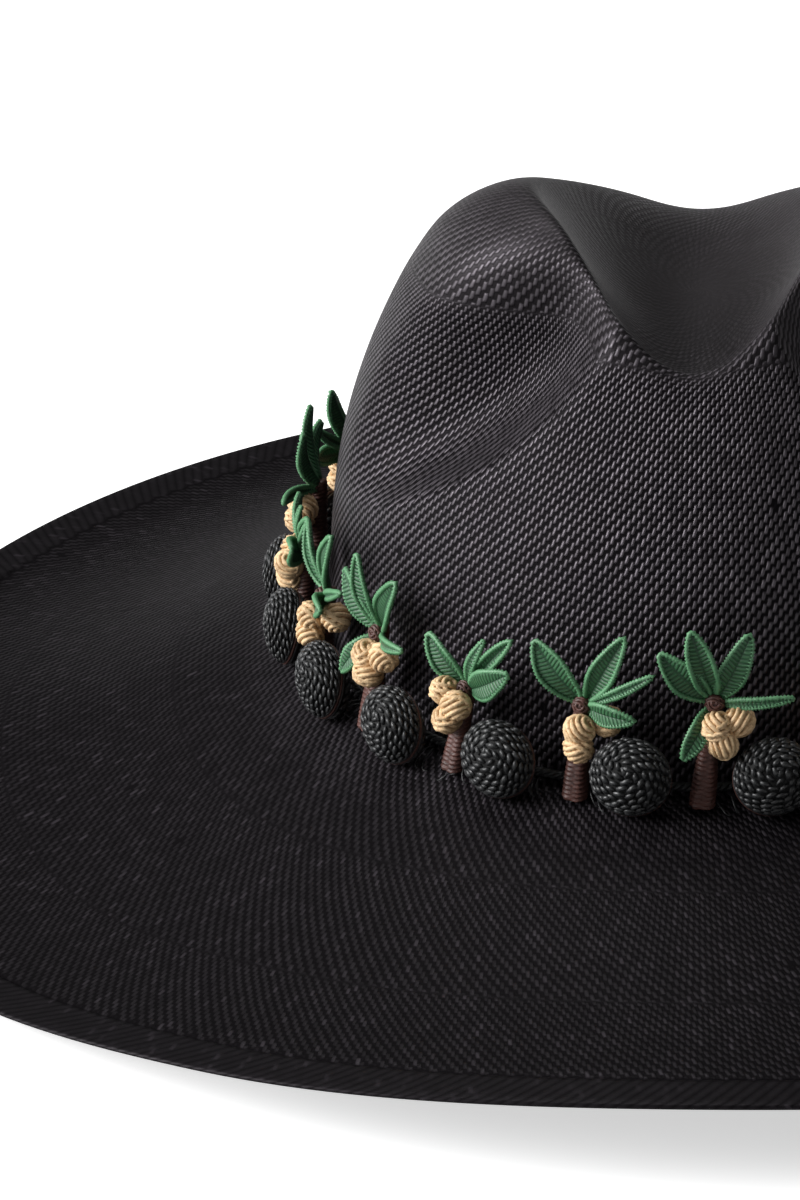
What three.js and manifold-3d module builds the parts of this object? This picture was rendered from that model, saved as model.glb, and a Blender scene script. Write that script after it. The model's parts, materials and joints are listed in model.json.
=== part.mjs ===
// Wide-brim hat woven in one piece from black straw. Palm motifs and wound straw balls are sewn
// in turn along a black cord that lies round the foot of the crown.
// Millimetres, +Z up, the hat's front towards -Y. The hat lies on a table at z = 0, and the
// origin is on the table under the middle of the head opening.
import * as THREE from "three";
import { mergeVertices } from "three/addons/utils/BufferGeometryUtils.js";
import Module from "manifold-3d";

// Straw body. The two head sizes are the outside of the straw where the crown meets the brim.
const headHalfWidth = 86;
const headHalfLength = 101;
const crownHeight = 116; // the crown before its crease is pressed in, above its foot
const brimWidth = 120;
const brimDrop = 34.4; // from the crown's foot down to the lowest stretch of the brim's edge
const strawWall = 1.8;
const footRadius = 3; // the bend between crown and brim
const borderWidth = 11; // the back-woven border along the brim's edge
const borderRise = 0.6;
const borderStep = 1; // the width over which the border rises
const edgePress = 0.6; // how far the resting edge is pressed flat
const bodySegments = 48;

// Crown crease, the slope of its top towards the back, and the two dents beside the front. A
// dent has a sharp lip below and in front, and fades out upwards and backwards.
const backSlope = 0.4;
const backSlopeStart = -0.15; // share of the head's half length, where the slope begins
const backSlopeBend = 8;
const creaseWall = 30;
const creaseRimBend = 5; // how softly the crown bends over into its crease
const pinchDepth = 21;
const pinchTurn = 41; // degrees round from the front
const pinchRise = 0.665; // share of the crown's height
const pinchToFront = 31; // how far the dent reaches from its middle, along the straw
const pinchToBack = 62;
const pinchUp = 38;
const pinchDown = 17;
const pinchTilt = 0.55; // how much the dent sinks for each millimetre towards the back
const pinchFade = 0.4; // share of the head's half sizes, from where a dent fades out inwards

// Trim
const motifCount = 21;
const trimStart = 2.4; // from the front's middle to the first palm, along the ball line
const seatGap = 0.3; // clearance between sewn pieces that touch
const cordDiameter = 2.2;
const cordGap = 0.7; // from the round of the bend that the cord lies in
const ballDiameter = 18;
const ballDepth = 11.4; // the balls are flatter from the crown outwards
const ballOut = 10.6; // from the crown's foot to the balls' middles
const ballFacets = { round: 9, between: 5 }; // round the ball and from end to end
const palmShift = 2.8; // from the middle between two balls to a palm's fan, to the right
const trunkFootRadius = 3;
const trunkTopRadius = 1.8;
const trunkHeight = 24;
const trunkLean = 2.2; // how much nearer to the crown its top is
const nutRadius = 3.7;
const leafLength = 18.5;
const leafWidth = 7;
const leafThickness = 1.3;
const leafRoot = 1.3; // from the middle of the fan to a leaf's own point
const leafArch = 1.6; // how far a leaf's middle bows outwards

// Outline of the undented crown from its middle to its foot, evenly spaced along the straw.
// rise is a share of the crown's height, spread a share of the head's half sizes.
const crownSections = [
  { rise: 1.0, spread: 0.0 },
  { rise: 0.998, spread: 0.15 },
  { rise: 0.99, spread: 0.3 },
  { rise: 0.97, spread: 0.46 },
  { rise: 0.93, spread: 0.583 },
  { rise: 0.865, spread: 0.682 },
  { rise: 0.77, spread: 0.76 },
  { rise: 0.66, spread: 0.828 },
  { rise: 0.535, spread: 0.892 },
  { rise: 0.4, spread: 0.945 },
  { rise: 0.265, spread: 0.977 },
  { rise: 0.13, spread: 0.993 },
  { rise: 0.0, spread: 1.0 },
];

// The crease down the middle of the crown, from the front to the back, evenly spaced between
// -creaseReach and +creaseReach of the head's half length. floor is a share of the crown's
// height. halfWidth, a share of the head's half width, is where its sides stand creaseWall high.
const creaseReach = 0.8;
const creaseSections = [
  { halfWidth: 0.27, floor: 0.78 },
  { halfWidth: 0.29, floor: 0.71 },
  { halfWidth: 0.335, floor: 0.69 },
  { halfWidth: 0.4, floor: 0.68 },
  { halfWidth: 0.44, floor: 0.68 },
  { halfWidth: 0.45, floor: 0.68 },
  { halfWidth: 0.45, floor: 0.68 },
  { halfWidth: 0.44, floor: 0.66 },
  { halfWidth: 0.44, floor: 0.615 },
];

// How far the brim's edge hangs at each 30 degrees from the front to the back, as a share of
// brimDrop. Both sides of the hat follow the same rows.
const brimSections = [
  { hang: 0.43 },
  { hang: 0.65 },
  { hang: 1.0 },
  { hang: 0.92 },
  { hang: 1.0 },
  { hang: 1.0 },
  { hang: 0.93 },
];

// Where the leaf's outline is sampled, as shares of its length, and its half width there as a
// share of leafWidth / 2
const leafSections = [
  { along: 0.3, half: 0.72 },
  { along: 0.68, half: 0.92 },
];

// Three palm patterns, used in turn round the hat. sway is how far the trunk's foot stands to
// the left of its top, height a share of trunkHeight. Leaves: turn is degrees from upright,
// positive to the right as seen from outside, lean is degrees away from the crown, length and
// width are shares of the leaf sizes. Nuts: across and up are millimetres from the top of the
// trunk, out is a share of a nut's radius beyond the trunk's face.
const palmPatterns = [
  {
    sway: 2.8,
    height: 1.05,
    leaves: [
      { turn: -49, lean: 6, length: 0.86, width: 1.0 },
      { turn: -17, lean: 11, length: 0.98, width: 0.93 },
      { turn: 30, lean: 5, length: 0.92, width: 0.93 },
      { turn: 78, lean: 14, length: 0.9, width: 0.45 },
      { turn: -141, lean: 25, length: 0.7, width: 0.75 },
    ],
    nuts: [
      { across: 0.4, up: -5.6, out: 0.7 },
      { across: 5.2, up: -5, out: 0.3 },
      { across: 1.7, up: -9.5, out: 0.8 },
    ],
  },
  {
    sway: 3,
    height: 0.87,
    leaves: [
      { turn: -39, lean: 8, length: 0.75, width: 1.0 },
      { turn: 16, lean: 6, length: 0.74, width: 0.42 },
      { turn: 41, lean: -1, length: 1.0, width: 0.62 },
      { turn: 64, lean: 14, length: 0.9, width: 1.0 },
    ],
    nuts: [
      { across: -4.2, up: -2.2, out: 0.4 },
      { across: 0.4, up: -4, out: 0.8 },
      { across: -2.6, up: -8.2, out: 0.7 },
    ],
  },
  {
    sway: 1.4,
    height: 0.955,
    leaves: [
      { turn: -36, lean: 5, length: 0.91, width: 1.12 },
      { turn: 29, lean: 5, length: 1.05, width: 0.87 },
      { turn: 62, lean: 6, length: 1.0, width: 0.4 },
      { turn: 84, lean: 20, length: 0.72, width: 0.76 },
    ],
    nuts: [
      { across: 0.6, up: -5.8, out: 0.7 },
      { across: 5.6, up: -4.4, out: 0.1 },
      { across: 0.6, up: -9.9, out: 0.8 },
    ],
  },
];

const footHeight = brimDrop + strawWall - borderRise - edgePress; // above the table
const borderStart = brimWidth - borderWidth - borderStep;
const ballRadius = ballDiameter / 2;
const cordRadius = cordDiameter / 2;

const wasm = await Module();
wasm.setup();

// Smooth value of a table's column at a place counted in rows. mirrorEnds carries the curve
// level through the first and last rows.
function tableAt(rows, column, place, mirrorEnds = false) {
  const last = rows.length - 1;
  const clamped = THREE.MathUtils.clamp(place, 0, last);
  const row = Math.min(Math.floor(clamped), last - 1);
  const share = clamped - row;
  const value = (index) => {
    if (index < 0) return rows[mirrorEnds ? -index : 0][column];
    if (index > last) return rows[mirrorEnds ? 2 * last - index : last][column];
    return rows[index][column];
  };
  const [before, from, to, after] = [-1, 0, 1, 2].map((step) => value(row + step));
  const bend = 2 * before - 5 * from + 4 * to - after;
  const twist = 3 * (from - to) + after - before;
  return from + 0.5 * share * (to - before + share * (bend + share * twist));
}

// How far the brim's edge hangs below the crown's foot, at a turn in radians from the front
function edgeHang(turn) {
  const fromFront = Math.abs(Math.atan2(Math.sin(turn), Math.cos(turn)));
  const place = (fromFront / Math.PI) * (brimSections.length - 1);
  return brimDrop * tableAt(brimSections, "hang", place, true);
}

// Point on the crown's outer face. along runs from 0 at the crown's middle to 1 at its foot.
function crownPoint(turn, along) {
  const place = along * (crownSections.length - 1);
  const spread = tableAt(crownSections, "spread", place);
  const wallFoot = footRadius / crownHeight;
  const rise = Math.max(tableAt(crownSections, "rise", place), 0) * (1 - wallFoot) + wallFoot;
  let x = headHalfWidth * spread * Math.sin(turn);
  let y = -headHalfLength * spread * Math.cos(turn);
  let z = crownHeight * rise;

  const behind = (y - backSlopeStart * headHalfLength) / backSlopeBend;
  const softBehind = behind > 30 ? behind : Math.log1p(Math.exp(behind));
  z -= backSlope * backSlopeBend * softBehind * (z / crownHeight) ** 3;

  for (const side of [-1, 1]) {
    const offTurn = side * turn - THREE.MathUtils.degToRad(pinchTurn);
    const backwards = Math.atan2(Math.sin(offTurn), Math.cos(offTurn)) * headHalfLength * spread;
    const upwards = z - pinchRise * crownHeight + pinchTilt * backwards;
    const acrossShare = backwards / (backwards > 0 ? pinchToBack : pinchToFront);
    const upShare = upwards / (upwards > 0 ? pinchUp : pinchDown);
    const fromMiddle = acrossShare ** 2 + upShare ** 2;
    const behindMiddle = Math.max(acrossShare, 0) ** 2 + Math.max(upShare, 0) ** 2;
    const softness = fromMiddle > 0 ? behindMiddle / fromMiddle : 0;
    const inBowl = Math.max(1 - fromMiddle, 0) ** (1 + softness);
    const push = pinchDepth * inBowl * Math.min(spread / pinchFade, 1);
    x -= push * Math.sin(turn);
    y += push * Math.cos(turn);
  }

  const creaseRows = creaseSections.length - 1;
  const creasePlace = ((y / headHalfLength / creaseReach + 1) / 2) * creaseRows;
  const halfWidth = headHalfWidth * tableAt(creaseSections, "halfWidth", creasePlace);
  const floor = crownHeight * tableAt(creaseSections, "floor", creasePlace);
  const crease = floor + creaseWall * (x / halfWidth) ** 2;
  z = (z + crease - Math.hypot(z - crease, creaseRimBend)) / 2;
  return new THREE.Vector3(x, y, z + footHeight);
}

// Point on the brim's upper face, out from the crown's foot
function brimPoint(turn, out) {
  const share = out / brimWidth;
  const sag = edgeHang(turn) * Math.sin((share * Math.PI) / 2);
  const inBend = Math.max(footRadius - out, 0);
  const bend = footRadius - Math.sqrt(footRadius ** 2 - inBend ** 2);
  const inBorder = THREE.MathUtils.smoothstep(out, borderStart, borderStart + borderStep);
  return new THREE.Vector3(
    (headHalfWidth + out) * Math.sin(turn),
    -(headHalfLength + out) * Math.cos(turn),
    footHeight - sag + bend + borderRise * inBorder,
  );
}

// Height of the brim's upper face under a point of the plan
function brimHeightAt(x, y) {
  let near = 0;
  let far = brimWidth;
  for (let pass = 0; pass < 40; pass++) {
    const out = (near + far) / 2;
    const inside = Math.hypot(x / (headHalfWidth + out), y / (headHalfLength + out)) > 1;
    if (inside) near = out;
    else far = out;
  }
  const turn = Math.atan2(x / (headHalfWidth + near), -y / (headHalfLength + near));
  return brimPoint(turn, near).z;
}

// Rings of the body, as functions of the turn, from the crown's middle out to the brim's edge
const crownRings = [0.08, 0.16, 0.24, 0.31, 0.38, 0.45, 0.53, 0.61, 0.7, 0.8, 0.9, 1.0];
const brimRings = [
  footRadius * 0.3,
  footRadius,
  brimWidth * 0.25,
  brimWidth * 0.5,
  brimWidth * 0.75,
  borderStart,
  borderStart + borderStep,
  brimWidth,
];
const bodyRings = [
  ...crownRings.map((along) => (turn) => crownPoint(turn, along)),
  ...brimRings.map((out) => (turn) => brimPoint(turn, out)),
];

// Closed geometry from a list of points and a list of triangles, each of three indices
function closedGeometry(points, triangles) {
  const geometry = new THREE.BufferGeometry();
  const positions = points.flatMap((point) => point.toArray());
  geometry.setAttribute("position", new THREE.Float32BufferAttribute(positions, 3));
  geometry.setIndex(triangles.flat());
  geometry.computeVertexNormals();
  return geometry;
}

// The straw body: an outer skin of rings, an inner skin one wall behind it, and the edge
function strawBody() {
  const ringCount = bodyRings.length;
  const outer = [new THREE.Vector3(0, 0, crownPoint(0, 0).z)];
  for (const ring of bodyRings) {
    for (let step = 0; step < bodySegments; step++) {
      outer.push(ring((step / bodySegments) * 2 * Math.PI));
    }
  }
  const at = (ring, step) => 1 + ring * bodySegments + (step % bodySegments);
  const skin = [];
  for (let step = 0; step < bodySegments; step++) {
    skin.push([0, at(0, step), at(0, step + 1)]);
    for (let ring = 0; ring < ringCount - 1; ring++) {
      const above = [at(ring, step), at(ring, step + 1)];
      const below = [at(ring + 1, step), at(ring + 1, step + 1)];
      // Each half of the hat has its facets split the same way as the other's mirror image
      if (step < bodySegments / 2) {
        skin.push([above[0], below[0], above[1]], [above[1], below[0], below[1]]);
      } else {
        skin.push([above[0], below[0], below[1]], [above[0], below[1], above[1]]);
      }
    }
  }
  const normals = closedGeometry(outer, skin).getAttribute("normal");
  const inner = outer.map((point, index) => {
    const normal = new THREE.Vector3().fromBufferAttribute(normals, index);
    return point.clone().addScaledVector(normal, -strawWall);
  });
  for (const point of inner) point.z = Math.max(point.z, 0);
  for (const point of outer) point.z = Math.max(point.z, strawWall);

  const behind = outer.length;
  const lining = skin.map(([first, second, third]) => [behind + first, behind + third, behind + second]);
  const edge = [];
  for (let step = 0; step < bodySegments; step++) {
    const here = at(ringCount - 1, step);
    const next = at(ringCount - 1, step + 1);
    edge.push([here, behind + here, behind + next], [here, behind + next, next]);
  }
  return closedGeometry([...outer, ...inner], [...skin, ...lining, ...edge]);
}

// A place on the trim: where it stands on the crown's foot, and the ways along and out
function trimPlace(turn) {
  const foot = new THREE.Vector2(headHalfWidth * Math.sin(turn), -headHalfLength * Math.cos(turn));
  const out = new THREE.Vector2(headHalfLength * Math.sin(turn), -headHalfWidth * Math.cos(turn));
  out.normalize();
  return { foot, out, angle: Math.atan2(out.x, -out.y) };
}

const cordInset = footRadius - (footRadius - cordRadius - cordGap) * Math.SQRT1_2;

// Turns that are evenly spaced along the line of the balls' middles
function evenTurns(count, start) {
  const samples = 1440;
  const turns = [];
  const lengths = [0];
  let before = null;
  for (let sample = 0; sample <= samples; sample++) {
    const turn = (sample / samples) * 2 * Math.PI;
    const { foot, out } = trimPlace(turn);
    const here = foot.clone().addScaledVector(out, ballOut);
    if (before) lengths.push(lengths[sample - 1] + here.distanceTo(before));
    turns.push(turn);
    before = here;
  }
  const whole = lengths[samples];
  return Array.from({ length: count }, (_, index) => {
    const wanted = (((start + (index * whole) / count) % whole) + whole) % whole;
    const after = Math.max(lengths.findIndex((length) => length > wanted), 1);
    const share = (wanted - lengths[after - 1]) / (lengths[after] - lengths[after - 1]);
    return turns[after - 1] + share * (turns[after] - turns[after - 1]);
  });
}

// The cord that the motifs are sewn to, in the bend between crown and brim
function cordRing() {
  const steps = bodySegments;
  const sides = 5;
  const points = [];
  for (let step = 0; step < steps; step++) {
    const turn = (step / steps) * 2 * Math.PI;
    const { foot, out } = trimPlace(turn);
    const middle = foot.clone().addScaledVector(out, cordInset);
    const height = footHeight - edgeHang(turn) * Math.sin(((cordInset / brimWidth) * Math.PI) / 2);
    for (let side = 0; side < sides; side++) {
      const round = (side / sides) * 2 * Math.PI;
      const across = middle.clone().addScaledVector(out, cordRadius * Math.cos(round));
      points.push(new THREE.Vector3(across.x, across.y, height + cordInset + cordRadius * Math.sin(round)));
    }
  }
  const at = (step, side) => (step % steps) * sides + (side % sides);
  const triangles = [];
  for (let step = 0; step < steps; step++) {
    for (let side = 0; side < sides; side++) {
      triangles.push([at(step, side), at(step + 1, side), at(step + 1, side + 1)]);
      triangles.push([at(step, side), at(step + 1, side + 1), at(step, side + 1)]);
    }
  }
  return closedGeometry(points, triangles);
}

// A closed geometry as a solid that can be joined, and back again
function solidOf(geometry) {
  const bare = new THREE.BufferGeometry();
  const loose = geometry.index ? geometry.toNonIndexed() : geometry;
  bare.setAttribute("position", loose.getAttribute("position"));
  const merged = mergeVertices(bare, 1e-3);
  return new wasm.Manifold(
    new wasm.Mesh({
      numProp: 3,
      vertProperties: merged.getAttribute("position").array,
      triVerts: new Uint32Array(merged.index.array),
    }),
  );
}

function geometryOf(solid) {
  const mesh = solid.getMesh();
  const geometry = new THREE.BufferGeometry();
  geometry.setAttribute("position", new THREE.Float32BufferAttribute(mesh.vertProperties, 3));
  geometry.setIndex([...mesh.triVerts]);
  geometry.computeVertexNormals();
  return geometry;
}

// One leaf as a thin lens, from the top of the trunk outwards. In a palm's own frame X runs
// along the trim, -Y away from the crown and Z up.
function leafGeometry(start, { turn, lean, length, width }) {
  const turned = THREE.MathUtils.degToRad(turn);
  const leant = THREE.MathUtils.degToRad(lean);
  const flat = new THREE.Vector3(Math.sin(turned), 0, Math.cos(turned));
  const outwards = new THREE.Vector3(0, -1, 0);
  const ahead = flat.clone().multiplyScalar(Math.cos(leant)).addScaledVector(outwards, Math.sin(leant));
  const aside = new THREE.Vector3().crossVectors(outwards, flat).normalize();
  const face = new THREE.Vector3().crossVectors(ahead, aside).normalize();
  const middleAt = (along) =>
    start
      .clone()
      .addScaledVector(ahead, leafRoot + along * length * leafLength)
      .addScaledVector(face, leafArch * Math.sin(along * Math.PI));
  const points = [middleAt(0), middleAt(1)];
  for (const { along, half } of leafSections) {
    const middle = middleAt(along);
    for (const [sideways, deep] of [[1, 0], [0, 1], [-1, 0]]) {
      const point = middle.clone().addScaledVector(aside, (sideways * half * width * leafWidth) / 2);
      points.push(point.addScaledVector(face, deep * leafThickness));
    }
  }
  const at = (section, corner) => 2 + section * 3 + (corner % 3);
  const lastSection = leafSections.length - 1;
  const triangles = [];
  for (let corner = 0; corner < 3; corner++) {
    triangles.push([0, at(0, corner + 1), at(0, corner)]);
    triangles.push([1, at(lastSection, corner), at(lastSection, corner + 1)]);
    for (let section = 0; section < lastSection; section++) {
      triangles.push([at(section, corner), at(section, corner + 1), at(section + 1, corner + 1)]);
      triangles.push([at(section, corner), at(section + 1, corner + 1), at(section + 1, corner)]);
    }
  }
  return closedGeometry(points, triangles);
}

// One palm: a wound trunk, a bunch of nuts and a fan of leaves, sewn into one piece
const trunkOffset = cordInset + cordRadius + seatGap + trunkFootRadius;
function palmSolid(pattern, standing) {
  const height = pattern.height * trunkHeight;
  const footPoint = new THREE.Vector3(-pattern.sway, -trunkOffset, standing);
  const topPoint = new THREE.Vector3(0, -trunkOffset + trunkLean, standing + height);
  const trunk = new THREE.CylinderGeometry(trunkTopRadius, trunkFootRadius, height, 4);
  trunk.rotateX(Math.PI / 2);
  const slant = topPoint.clone().sub(footPoint).divideScalar(height);
  trunk.applyMatrix4(new THREE.Matrix4().makeShear(0, 0, 0, 0, slant.x, slant.y));
  trunk.translate(-pattern.sway / 2, (footPoint.y + topPoint.y) / 2, standing + height / 2);
  const pieces = [trunk];
  for (const { across, up, out } of pattern.nuts) {
    const nut = new THREE.IcosahedronGeometry(nutRadius);
    const beyond = trunkTopRadius + out * nutRadius;
    nut.translate(across, topPoint.y - beyond, topPoint.z + up);
    pieces.push(nut);
  }
  const fanStart = topPoint.clone().add(new THREE.Vector3(0, 0, -trunkTopRadius));
  for (const leaf of pattern.leaves) pieces.push(leafGeometry(fanStart, leaf));
  return pieces.map(solidOf).reduce((whole, piece) => whole.add(piece));
}

const blackStraw = new THREE.MeshStandardMaterial({ color: 0x2b2829, roughness: 0.6, metalness: 0 });
const blackRaffia = new THREE.MeshStandardMaterial({ color: 0x1d1d1d, roughness: 0.5, metalness: 0 });
const palmRaffia = new THREE.MeshStandardMaterial({ color: 0x2f6b47, roughness: 0.7, metalness: 0 });

const hat = new THREE.Group();
function addPiece(name, geometry, material) {
  const mesh = new THREE.Mesh(geometry, material);
  mesh.name = name;
  hat.add(mesh);
  return mesh;
}

addPiece("straw_body", strawBody(), blackStraw);
addPiece("trim_cord", cordRing(), blackRaffia);

// Palms and balls stand in turn on the brim, half a step apart
const halfSteps = evenTurns(2 * motifCount, trimStart);
halfSteps.forEach((turn, index) => {
  const { foot, out, angle } = trimPlace(turn);
  const number = String(Math.floor(index / 2) + 1).padStart(2, "0");
  if (index % 2 === 0) {
    const innerFoot = foot.clone().addScaledVector(out, trunkOffset - trunkFootRadius);
    const standing = brimHeightAt(innerFoot.x, innerFoot.y) + seatGap;
    const pattern = palmPatterns[(index / 2) % palmPatterns.length];
    const palm = addPiece(`palm_${number}`, geometryOf(palmSolid(pattern, standing)), palmRaffia);
    palm.position.set(foot.x, foot.y, 0);
    palm.rotation.z = angle;
    palm.translateX(palmShift);
    return;
  }
  const middle = foot.clone().addScaledVector(out, ballOut);
  const innerTouch = foot.clone().addScaledVector(out, ballOut - ballDepth / 8);
  const round = new THREE.SphereGeometry(ballRadius, ballFacets.round, ballFacets.between);
  round.rotateX(Math.PI / 2).scale(1, ballDepth / ballDiameter, 1);
  const ball = addPiece(`ball_${number}`, round, blackRaffia);
  ball.rotation.z = angle;
  ball.position.set(middle.x, middle.y, brimHeightAt(innerTouch.x, innerTouch.y) + ballRadius + seatGap);
});

export default hat;
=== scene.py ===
import json
import math
import random

import bmesh
import bpy
from mathutils import Matrix, Quaternion, Vector

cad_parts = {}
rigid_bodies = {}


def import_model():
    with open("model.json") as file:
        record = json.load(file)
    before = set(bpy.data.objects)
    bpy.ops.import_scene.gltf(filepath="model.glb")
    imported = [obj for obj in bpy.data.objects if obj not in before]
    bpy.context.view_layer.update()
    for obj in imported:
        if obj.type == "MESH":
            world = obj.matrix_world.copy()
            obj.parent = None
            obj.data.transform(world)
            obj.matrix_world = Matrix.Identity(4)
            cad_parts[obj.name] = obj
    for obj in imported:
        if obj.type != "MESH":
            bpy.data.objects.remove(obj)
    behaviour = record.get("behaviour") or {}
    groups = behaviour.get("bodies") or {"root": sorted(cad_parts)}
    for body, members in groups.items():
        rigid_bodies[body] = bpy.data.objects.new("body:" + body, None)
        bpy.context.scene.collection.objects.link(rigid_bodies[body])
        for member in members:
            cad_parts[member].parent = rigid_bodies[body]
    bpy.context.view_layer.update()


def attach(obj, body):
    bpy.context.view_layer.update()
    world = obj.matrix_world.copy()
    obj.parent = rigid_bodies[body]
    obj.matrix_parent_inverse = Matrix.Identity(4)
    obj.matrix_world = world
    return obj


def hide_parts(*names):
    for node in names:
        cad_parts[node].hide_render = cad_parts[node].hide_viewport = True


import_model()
dice = random.Random(7)

# Shapes are worked out in millimetres, as in the part's source, and end in metres.
metre = 0.001

hat = {
    "headHalfWidth": 86.0,
    "headHalfLength": 101.0,
    "meanRadius": 93.5,  # of the head's oval, for counting the woven rows
    "crownHeight": 116.0,
    "brimWidth": 120.0,
    "brimDrop": 34.4,
    "solidWall": 1.8,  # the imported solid's wall
    "strawWall": 1.5,  # the straw as it is shown
    "footRadius": 3.0,
    "borderWidth": 11.0,
    "borderRise": 0.6,
    "borderStep": 1.0,
    "edgePress": 0.6,
    "backSlope": 0.4,
    "backSlopeStart": -0.15,
    "backSlopeBend": 8.0,
    "creaseWall": 30.0,
    "creaseRimBend": 5.0,
    "creaseReach": 0.8,
    "pinchDepth": 21.0,
    "pinchTurn": 41.0,
    "pinchRise": 0.665,
    "pinchToFront": 31.0,
    "pinchToBack": 62.0,
    "pinchUp": 38.0,
    "pinchDown": 17.0,
    "pinchTilt": 0.55,
    "pinchFade": 0.4,
}
crownRise = [1.0, 0.998, 0.99, 0.97, 0.93, 0.865, 0.77, 0.66, 0.535, 0.4, 0.265, 0.13, 0.0]
crownSpread = [0.0, 0.15, 0.3, 0.46, 0.583, 0.682, 0.76, 0.828, 0.892, 0.945, 0.977, 0.993, 1.0]
creaseHalfWidth = [0.27, 0.29, 0.335, 0.4, 0.44, 0.45, 0.45, 0.44, 0.44]
creaseFloor = [0.78, 0.71, 0.69, 0.68, 0.68, 0.68, 0.68, 0.66, 0.615]
brimHang = [0.43, 0.65, 1.0, 0.92, 1.0, 1.0, 0.93]  # every 30 degrees, front to back
footHeight = hat["brimDrop"] + hat["solidWall"] - hat["borderRise"] - hat["edgePress"]
borderStart = hat["brimWidth"] - hat["borderWidth"] - hat["borderStep"]


def smoothAt(values, place, mirrorEnds=False):  # curve through evenly spaced values
    last = len(values) - 1
    place = min(max(place, 0.0), last)
    row = min(int(place), last - 1)
    share = place - row
    near = []
    for step in (-1, 0, 1, 2):
        index = row + step
        if mirrorEnds:
            index = -index if index < 0 else (2 * last - index if index > last else index)
        near.append(values[min(max(index, 0), last)])
    before, start, end, after = near
    bend = 2 * before - 5 * start + 4 * end - after
    twist = 3 * (start - end) + after - before
    return start + 0.5 * share * (end - before + share * (bend + share * twist))


def edgeHang(turn):
    fromFront = abs(math.atan2(math.sin(turn), math.cos(turn)))
    place = fromFront / math.pi * (len(brimHang) - 1)
    return hat["brimDrop"] * smoothAt(brimHang, place, mirrorEnds=True)


def crownPoint(turn, along):
    place = along * (len(crownRise) - 1)
    spread = smoothAt(crownSpread, place)
    wallFoot = hat["footRadius"] / hat["crownHeight"]
    rise = max(smoothAt(crownRise, place), 0.0) * (1 - wallFoot) + wallFoot
    x = hat["headHalfWidth"] * spread * math.sin(turn)
    y = -hat["headHalfLength"] * spread * math.cos(turn)
    z = hat["crownHeight"] * rise
    behind = (y - hat["backSlopeStart"] * hat["headHalfLength"]) / hat["backSlopeBend"]
    softBehind = behind if behind > 30 else math.log1p(math.exp(behind))
    z -= hat["backSlope"] * hat["backSlopeBend"] * softBehind * (z / hat["crownHeight"]) ** 3
    for side in (-1, 1):
        offTurn = side * turn - math.radians(hat["pinchTurn"])
        backwards = math.atan2(math.sin(offTurn), math.cos(offTurn))
        backwards *= hat["headHalfLength"] * spread
        upwards = z - hat["pinchRise"] * hat["crownHeight"] + hat["pinchTilt"] * backwards
        across = backwards / (hat["pinchToBack"] if backwards > 0 else hat["pinchToFront"])
        up = upwards / (hat["pinchUp"] if upwards > 0 else hat["pinchDown"])
        fromMiddle = across**2 + up**2
        softness = (max(across, 0.0) ** 2 + max(up, 0.0) ** 2) / max(fromMiddle, 1e-9)
        inBowl = max(1 - fromMiddle, 0.0) ** (1 + softness)
        push = hat["pinchDepth"] * inBowl * min(spread / hat["pinchFade"], 1)
        x -= push * math.sin(turn)
        y += push * math.cos(turn)
    rows = len(creaseFloor) - 1
    creasePlace = (y / hat["headHalfLength"] / hat["creaseReach"] + 1) / 2 * rows
    halfWidth = hat["headHalfWidth"] * smoothAt(creaseHalfWidth, creasePlace)
    floorHeight = hat["crownHeight"] * smoothAt(creaseFloor, creasePlace)
    crease = floorHeight + hat["creaseWall"] * (x / halfWidth) ** 2
    z = (z + crease - math.hypot(z - crease, hat["creaseRimBend"])) / 2
    return Vector((x, y, z + footHeight))


def brimPoint(turn, out):
    sag = edgeHang(turn) * math.sin(out / hat["brimWidth"] * math.pi / 2)
    inBend = max(hat["footRadius"] - out, 0.0)
    bend = hat["footRadius"] - math.sqrt(hat["footRadius"] ** 2 - inBend**2)
    step = min(max((out - borderStart) / hat["borderStep"], 0.0), 1.0)
    inBorder = step * step * (3 - 2 * step)
    x = (hat["headHalfWidth"] + out) * math.sin(turn)
    y = -(hat["headHalfLength"] + out) * math.cos(turn)
    return Vector((x, y, footHeight - sag + bend + hat["borderRise"] * inBorder))


def brimHeightAt(x, y):
    near, far = 0.0, hat["brimWidth"]
    for _ in range(40):
        out = (near + far) / 2
        if math.hypot(x / (hat["headHalfWidth"] + out), y / (hat["headHalfLength"] + out)) > 1:
            near = out
        else:
            far = out
    turn = math.atan2(x / (hat["headHalfWidth"] + near), -y / (hat["headHalfLength"] + near))
    return brimPoint(turn, near).z


# Shader nodes

def addNode(tree, kind, inputs=None, **settings):
    node = tree.nodes.new(kind)
    for key, value in settings.items():
        setattr(node, key, value)
    for key, value in (inputs or {}).items():
        if isinstance(value, bpy.types.NodeSocket):
            tree.links.new(value, node.inputs[key])
        else:
            node.inputs[key].default_value = value
    return node


def maths(tree, operation, *values, clamp=False):
    node = addNode(tree, "ShaderNodeMath", operation=operation, use_clamp=clamp)
    for index, value in enumerate(values):
        if isinstance(value, bpy.types.NodeSocket):
            tree.links.new(value, node.inputs[index])
        else:
            node.inputs[index].default_value = value
    return node.outputs[0]


def blendColours(tree, share, first, second, mode="MIX"):
    node = addNode(tree, "ShaderNodeMix", data_type="RGBA", blend_type=mode)
    for index, value in ((0, share), (6, first), (7, second)):
        if isinstance(value, bpy.types.NodeSocket):
            tree.links.new(value, node.inputs[index])
        elif index == 0:
            node.inputs[index].default_value = value
        else:
            node.inputs[index].default_value = (*value, 1.0)
    return node.outputs[2]


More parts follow.
